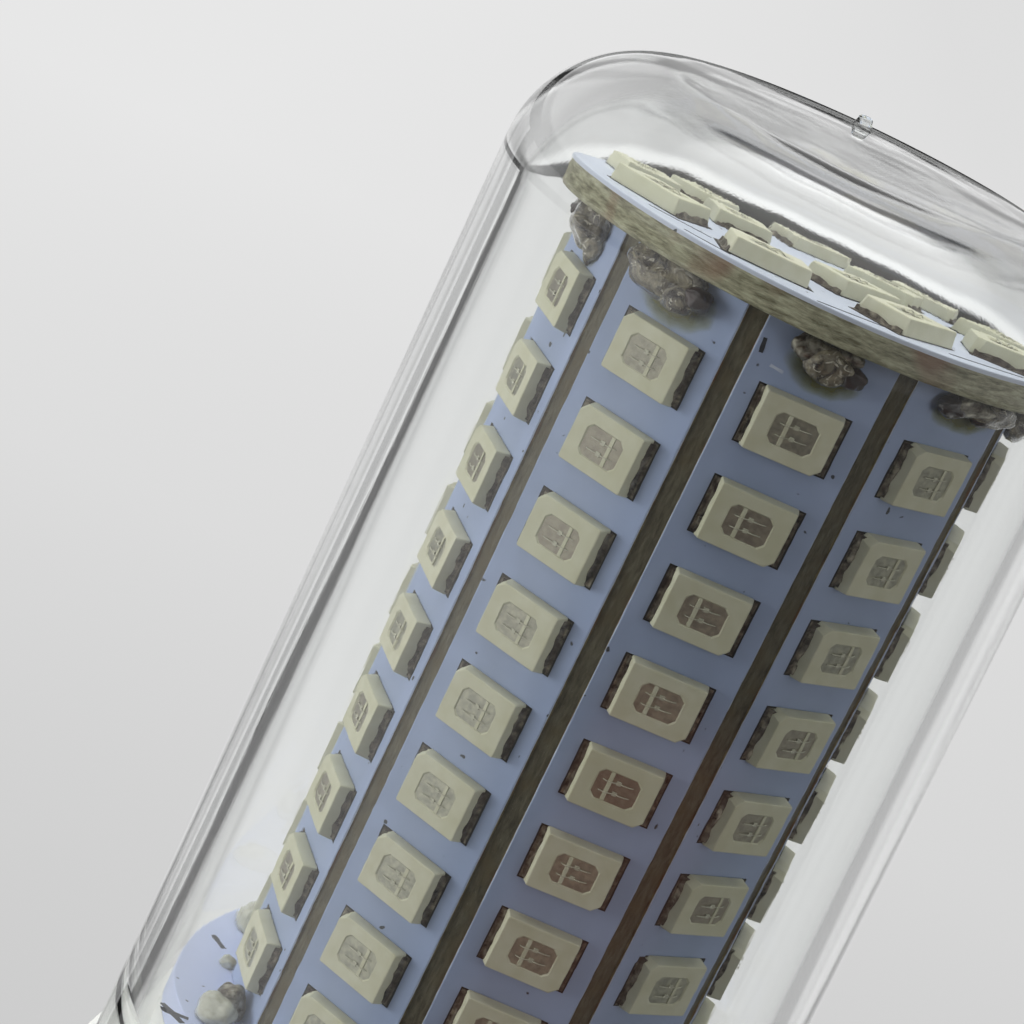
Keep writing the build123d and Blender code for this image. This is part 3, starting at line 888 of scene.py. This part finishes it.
# Round boards: the mask of the top one reaches a little down its rim
disc = {"bevel": 0.08, "bevelSteps": 3, "lip": 0.16, "segments": 160}
lipFoot = discHigh.z - disc["lip"]
discR, plateR = discHigh.x, plateHigh.x
discOutline = softened([
    (0, discLow.z), (discR, discLow.z), (discR, lipFoot), (discR, discHigh.z), (0, discHigh.z),
], disc["bevel"], disc["bevelSteps"])
plateOutline = softened([
    (0, plateLow.z), (plateR, plateLow.z), (plateR, plateHigh.z), (0, plateHigh.z),
], disc["bevel"], disc["bevelSteps"])


def discSlot(i):
    following = discOutline[(i + 1) % len(discOutline)]
    return int((discOutline[i][1] + following[1]) / 2 > lipFoot)


newPiece("topBoard", spun("topBoard", discOutline, disc["segments"], faceSlot=discSlot),
         [paint["rim"], paint["topMask"]], "top_disc")
newPiece("basePlate", spun("basePlate", plateOutline, disc["segments"]), [paint["plateMask"]], "base_plate")
print("round boards done")


# Solder joints under the top board: for each board its lumps as (material, middle, half sizes), in mm
# on the board's face, and the stains of flux round them as (middle, half sizes); at the foot of each
# board a joint with a small one beside it as (material, distance out, turn in degrees, half sizes)
joint = {
    "drift": 0.256, "fine": 0.056, "stainLift": 0.012, "stainWave": 0.12, "footSink": 0.45,
    "feet": [("pale", 11.85, 6.6, (0.95, 1.2, 0.75)), ("solder", 11.2, 4.0, (0.8, 0.9, 1.0)),
             ("pale", 11.1, -18.6, (0.42, 0.36, 0.4))],
    "footTurn": {8: -14.0},
    "lumps": {
        9: [("flux", (0.1, 93.3, 0.45), (1.25, 1.25, 0.8)), ("solder", (0.0, 93.9, 0.3), (1.0, 0.9, 0.55)),
            ("flux", (0.75, 92.5, 0.3), (0.6, 0.75, 0.4)),
            ("burnt", (0.35, 91.65, 0.05), (0.3, 0.2, 0.12))],
        10: [("flux", (-1.0, 93.45, 0.45), (1.75, 1.15, 0.75)),
             ("solder", (-0.1, 93.9, 0.3), (1.2, 0.7, 0.5)),
             ("burnt", (1.0, 93.3, 0.5), (0.58, 0.62, 0.55)), ("flux", (0.1, 93.0, 0.5), (0.9, 0.8, 0.55))],
        1: [("solder", (-0.7, 93.6, 0.4), (0.95, 0.75, 0.55)), ("flux", (0.1, 93.3, 0.5), (1.1, 0.85, 0.6)),
            ("burnt", (1.15, 93.15, 0.45), (0.6, 0.55, 0.5)),
            ("solder", (0.6, 94.0, 0.3), (0.8, 0.45, 0.4))],
        2: [("solder", (0.3, 93.8, 0.4), (1.4, 0.6, 0.55)), ("burnt", (-0.9, 93.5, 0.4), (0.8, 0.6, 0.45)),
            ("flux", (1.6, 93.7, 0.4), (1.3, 0.75, 0.6)), ("burnt", (1.0, 93.2, 0.5), (0.45, 0.35, 0.3))],
    },
    "stains": {
        9: [((0.2, 92.3), (1.2, 1.1))],
        10: [((-0.2, 92.75), (2.15, 1.45)), ((-2.2, 93.6), (0.9, 0.8))],
        1: [((0.2, 92.75), (1.9, 1.15))],
        2: [((0.7, 93.1), (2.2, 1.0))],
    },
}


def lumpMesh(middle, halves, seed):
    # a lump of solder or resin: a ball drawn out by slow noise, sunk into the board
    work = bmesh.new()
    bmesh.ops.create_icosphere(work, subdivisions=4, radius=1)
    for vert in work.verts:
        drift = noise.noise(vert.co * 1.3 + Vector((seed, 2 * seed, 0)))
        fine = noise.noise(vert.co * 3.4 + Vector((0, seed, 3 * seed)))
        size = 1 + joint["drift"] * drift + joint["fine"] * fine
        vert.co = Vector([c * size * h for c, h in zip(vert.co, halves)]) + Vector(middle)
    mesh = bpy.data.meshes.new("lump")
    work.to_mesh(mesh)
    work.free()
    return mesh


def stainMesh(middle, halves, rings=10, around=48):
    # a flat patch whose attribute falls from 1 in the middle to 0 at its rim
    verts, faces, fades = [(middle[0], middle[1], joint["stainLift"])], [], [1.0]
    for i in range(1, rings + 1):
        for k in range(around):
            turn = 2 * math.pi * k / around
            wave = joint["stainWave"] * noise.noise(Vector((math.cos(turn), math.sin(turn), middle[0])))
            out = i / rings * (1 + wave)
            height = min(middle[1] + halves[1] * out * math.sin(turn), discLow.z - 0.01)
            verts.append((middle[0] + halves[0] * out * math.cos(turn), height, joint["stainLift"]))
            fades.append(1 - (i / rings) ** 2)
    for k in range(around):
        n = (k + 1) % around
        faces.append((0, 1 + k, 1 + n))
        for i in range(rings - 1):
            low = 1 + i * around
            faces.append((low + k, low + around + k, low + around + n, low + n))
    mesh = bpy.data.meshes.new("stain")
    mesh.from_pydata(verts, [], faces)
    fade = mesh.attributes.new("fade", "FLOAT", "POINT")
    fade.data.foreach_set("value", fades)
    return mesh


def painted(mesh, slot):
    mesh.polygons.foreach_set("material_index", [slot] * len(mesh.polygons))
    return mesh


def placedOn(number, mesh, slot):
    mesh.transform(onBoard(number))
    return painted(mesh, slot)


# The joints round the back are those of the four boards in sight
jointPaints = ["solder", "flux", "burnt", "pale"]
visible = sorted(joint["lumps"])
lumps, stains, feet = [], [], []
for number in range(1, ring["count"] + 1):
    like = number if number in visible else visible[number % len(visible)]
    for i, (kind, middle, halves) in enumerate(joint["lumps"][like]):
        mesh = lumpMesh(middle, halves, 0.37 * number + 1.7 * i)
        lumps.append(placedOn(number, mesh, jointPaints.index(kind)))
    for middle, halves in joint["stains"][like]:
        stains.append(placedOn(number, stainMesh(middle, halves), 0))
    for i, (kind, out, turn, halves) in enumerate(joint["feet"]):
        a = boardAngle(number) + math.radians(turn + joint["footTurn"].get(number, 0))
        spot = Vector((out * math.cos(a), out * math.sin(a), plateHigh.z + halves[2] * joint["footSink"]))
        mesh = lumpMesh((0, 0, 0), halves, 0.53 * number + 2.1 * i)
        mesh.transform(Matrix.Scale(mm, 4) @ Matrix.Translation(spot))
        feet.append(painted(mesh, jointPaints.index(kind)))
for name, meshes, keys, node in (("footJoints", feet, jointPaints, "base_solder_joints"),
                                 ("topJoints", lumps, jointPaints, "top_solder_joints"),
                                 ("fluxStains", stains, ["olive"], "top_solder_joints")):
    newPiece(name, merged(name, meshes), [paint[key] for key in keys], node, smooth=True)
print("joints:", len(lumps), "lumps")


# Marks as (height, half width, node, slot, strokes): a minus and a plus printed on the base board
# beside the leads, and the dark slits of the top board's pads
markSpots = {
    "plateMarks": (plateHigh.z, 0.13, "base_plate", "plate_mask", [
        ((-12.3, 2.5), (-11.55, 1.6)), ((-12.95, -6.3), (-11.7, -6.15)),
        ((-12.8, -5.75), (-11.85, -6.75))]),
    "padSlits": (discHigh.z, 0.07, "top_disc", "board_mask", [
        ((-8.63, -6.54), (-5.89, -7.24)), ((-7.20, -8.98), (-5.26, -9.90)),
        ((-1.66, -11.74), (1.98, -10.21)), ((4.28, -10.13), (7.83, -8.14))]),
}
ink = {"lift": 0.012, "depth": 0.02, "steps": 8, "uneven": 0.5}


def strokeMesh(start, end, height, width):
    # one printed stroke, a little uneven
    start, end = Vector((*start, height + ink["lift"])), Vector((*end, height + ink["lift"]))
    along = (end - start).normalized()
    across = Vector((-along.y, along.x, 0))
    drop = Vector((0, 0, -ink["depth"]))
    rings = []
    for i in range(ink["steps"] + 1):
        spot = start.lerp(end, i / ink["steps"])
        half = across * width * (1 + ink["uneven"] * noise.noise(spot * 2))
        rings.append([spot + half, spot - half, spot - half + drop, spot + half + drop])
    return lofted("stroke", rings)


for name, (height, width, node, slot, spots) in markSpots.items():
    marks = merged(name, [strokeMesh(start, end, height, width) for start, end in spots])
    marks.transform(Matrix.Scale(mm, 4))
    newPiece(name, marks, [paint["ink"]], node)

# A black bar and a pale dash beside the joint of the first board
boardMarks = [("ink", (-2.62, 93.14), (-2.54, 92.48)), ("lip", (-1.97, 92.16), (-1.36, 92.09))]
boardMarkWidth = 0.085
strokes = []
for i, (key, start, end) in enumerate(boardMarks):
    strokes.append(placedOn(1, strokeMesh(start, end, 0, boardMarkWidth), i))
newPiece("boardMarks", merged("boardMarks", strokes), [paint[key] for key, _, _ in boardMarks],
         "led_strip_1")


# Housing, cap and the parts inside keep their solids and take a material
plainParts = {
    "base_housing": "white", "screw_shell": "nickel", "cap_insulator": "insulator",
    "centre_contact": "contact", "driver_board": "laminate", "film_capacitor": "film",
    "smoothing_capacitor": "sleeve", "bridge_rectifier": "black", "chip_resistors": "black",
    "fuse_resistor": "resistor",
    "plus_lead": "red", "minus_lead": "black", "shell_lead": "black",
}
for name, key in plainParts.items():
    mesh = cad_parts[name].data
    mesh.materials.clear()
    mesh.materials.append(paint[key])


# Stage: a floor and a sky that are plain to the camera and banded for what is seen in glass and metal.
# The floor's bands go by the angle right of the view's heading: pale behind the lamp and to the left,
# a dark screen far out on the left, dim in front and on the right
stage = {
    "floor": 6.0, "lit": (0.74, 0.755, 0.76), "plainSky": (0.66, 0.66, 0.66),
    "levels": [(-180, 0.12), (-158, 0.12), (-140, 0.7), (-85, 0.8), (-60, 0.6), (-51, 0.5), (-49.5, 0.04),
               (-42, 0.04), (-41, 0.92), (-39.6, 0.92), (-38.6, 0.6), (-28.5, 0.66), (-27, 0.34),
               (-25.5, 0.56), (-22, 0.78), (0, 0.74), (14, 0.74), (24, 0.8), (45, 0.76), (49, 0.44),
               (54, 0.44), (58, 0.5), (80, 0.3), (100, 0.12), (180, 0.12)],
    "plainLevels": [(0.06, 0.62), (0.2, 0.735), (0.4, 0.80), (1.0, 0.80)],
    "shadowNear": (0.03, 0.12, 0.2, 1.0), "plainSide": (-0.1, 0.1, 1.0, 0.91),
    "front": (-0.10, -0.15), "frontLeft": (0.0, -0.04, 1.0, 0.0), "frontRight": (0.25, 0.15),
    "warm": (0.22, 0.10, 0.08), "slate": (0.06, 0.06, 0.07), "warmToSlate": (0.25, 0.29),
}


def aheadAndAside(vector):
    # a vector's parts along the view's heading and to its right
    turn = math.radians(view["heading"])
    x, y = vector.part("X"), vector.part("Y")
    return x * math.cos(turn) + y * math.sin(turn), x * math.sin(turn) - y * math.cos(turn)


def floorPaint():
    f = Finish("paleFloor")
    camera, glossy, through = (f.add("LightPath", out=name) for name in (
        "Is Camera Ray", "Is Glossy Ray", "Is Transmission Ray"))
    lit = f.add("BsdfDiffuse", Color=stage["lit"])
    along, side = aheadAndAside(f.add("TexCoord", out="Object"))
    bearing = side.joined("ARCTAN2", along) / (2 * math.pi) + 0.5
    around = f.ramp(bearing, [(angle / 360 + 0.5, level) for angle, level in stage["levels"]])
    reach = (along * along + side * side) ** 0.5
    # the glow seen in glass and metal is darker close to the lamp: a painted shadow of the lamp on the
    # floor
    around = f.mix(1.0, around, f.spread(reach, *stage["shadowNear"]), "MULTIPLY")
    dim = f.mix(f.spread(reach, *stage["warmToSlate"]), stage["warm"], stage["slate"])
    inFront = f.spread(along, *stage["front"]) * f.spread(side, *stage["frontLeft"])
    around = f.mix(inFront * f.spread(side, *stage["frontRight"]), around, dim)
    plain = f.ramp(along, stage["plainLevels"])
    plain = f.mix(1.0, plain, f.spread(side, *stage["plainSide"]), "MULTIPLY")
    glow = f.mixed(camera, f.add("Emission", Color=around), f.add("Emission", Color=plain))
    return f.show(f.mixed(camera.most(glossy).most(through), lit, glow))


wide = stage["floor"]
corners = [(-wide, -wide, 0), (wide, -wide, 0), (wide, wide, 0), (-wide, wide, 0)]
floorMesh = bpy.data.meshes.new("floor")
floorMesh.from_pydata(corners, [], [(0, 1, 2, 3)])
floorMesh.materials.append(floorPaint())
floor = linked("floor", floorMesh)

sky = Finish("studio", bpy.data.worlds.new("studio"))
direction = sky.add("TexCoord", out="Generated")
height = direction.part("Z")
ahead, aside = aheadAndAside(direction)


def skyBand(*levels):
    # grey levels by the angle above the horizon
    return sky.ramp(height, [(math.sin(math.radians(angle)), level) for angle, level in levels])


# Behind the lamp a dark line at the horizon, a bright one over it, grey, a dark band, and pale overhead
back = skyBand((0, 0.03), (4.2, 0.03), (4.6, 1.0), (5.6, 1.0), (6.8, 0.66), (13, 0.66), (18, 0.5),
               (40, 0.46), (42.5, 0.05), (48, 0.05), (50.5, 0.8), (56, 1.5), (90, 1.5))
left = skyBand((0, 0.04), (8, 0.04), (9.5, 0.7), (16, 0.62), (30, 0.78), (60, 0.9), (90, 1.1))
rightSky = skyBand((0, 0.4), (16, 0.38), (50, 0.4), (65, 1.0), (90, 1.1))
front = skyBand((0, 0.08), (14, 0.08), (24, 0.25), (50, 0.3), (65, 1.0), (90, 1.1))
skyLevel = sky.mix(sky.spread(ahead, -0.15, 0.45), front, back)
skyLevel = sky.mix(sky.spread(aside, -0.35, -0.75), skyLevel, left)
skyLevel = sky.mix(sky.spread(aside, 0.35, 0.75), skyLevel, rightSky)
skyLevel = sky.mix(sky.add("LightPath", out="Is Camera Ray"), skyLevel, stage["plainSky"])
bpy.context.scene.world = sky.show(sky.add("Background", Color=skyLevel))


def softLight(name, place, aim, size, power):
    data = bpy.data.lights.new(name, "AREA")
    data.shape = "RECTANGLE"
    data.size, data.size_y = size
    data.energy = power
    lamp = linked(name, data)
    lamp.location = place
    lamp.rotation_euler = (Vector(aim) - Vector(place)).to_track_quat("-Z", "Y").to_euler()
    lamp.visible_camera = False
    lamp.visible_glossy = False
    lamp.visible_transmission = False


softLight("overhead", (-0.02, 0.06, 0.48), (0, 0, 0.09), (0.40, 0.20), 1.7)
softLight("leftKey", (-0.50, -0.03, 0.05), (0, 0, 0.065), (0.30, 0.20), 2.0)
softLight("rightFill", (0.35, -0.42, 0.22), (0, 0, 0.07), (0.25, 0.25), 0.5)
print("stage done")

bpy.context.scene.view_settings.view_transform = "Standard"
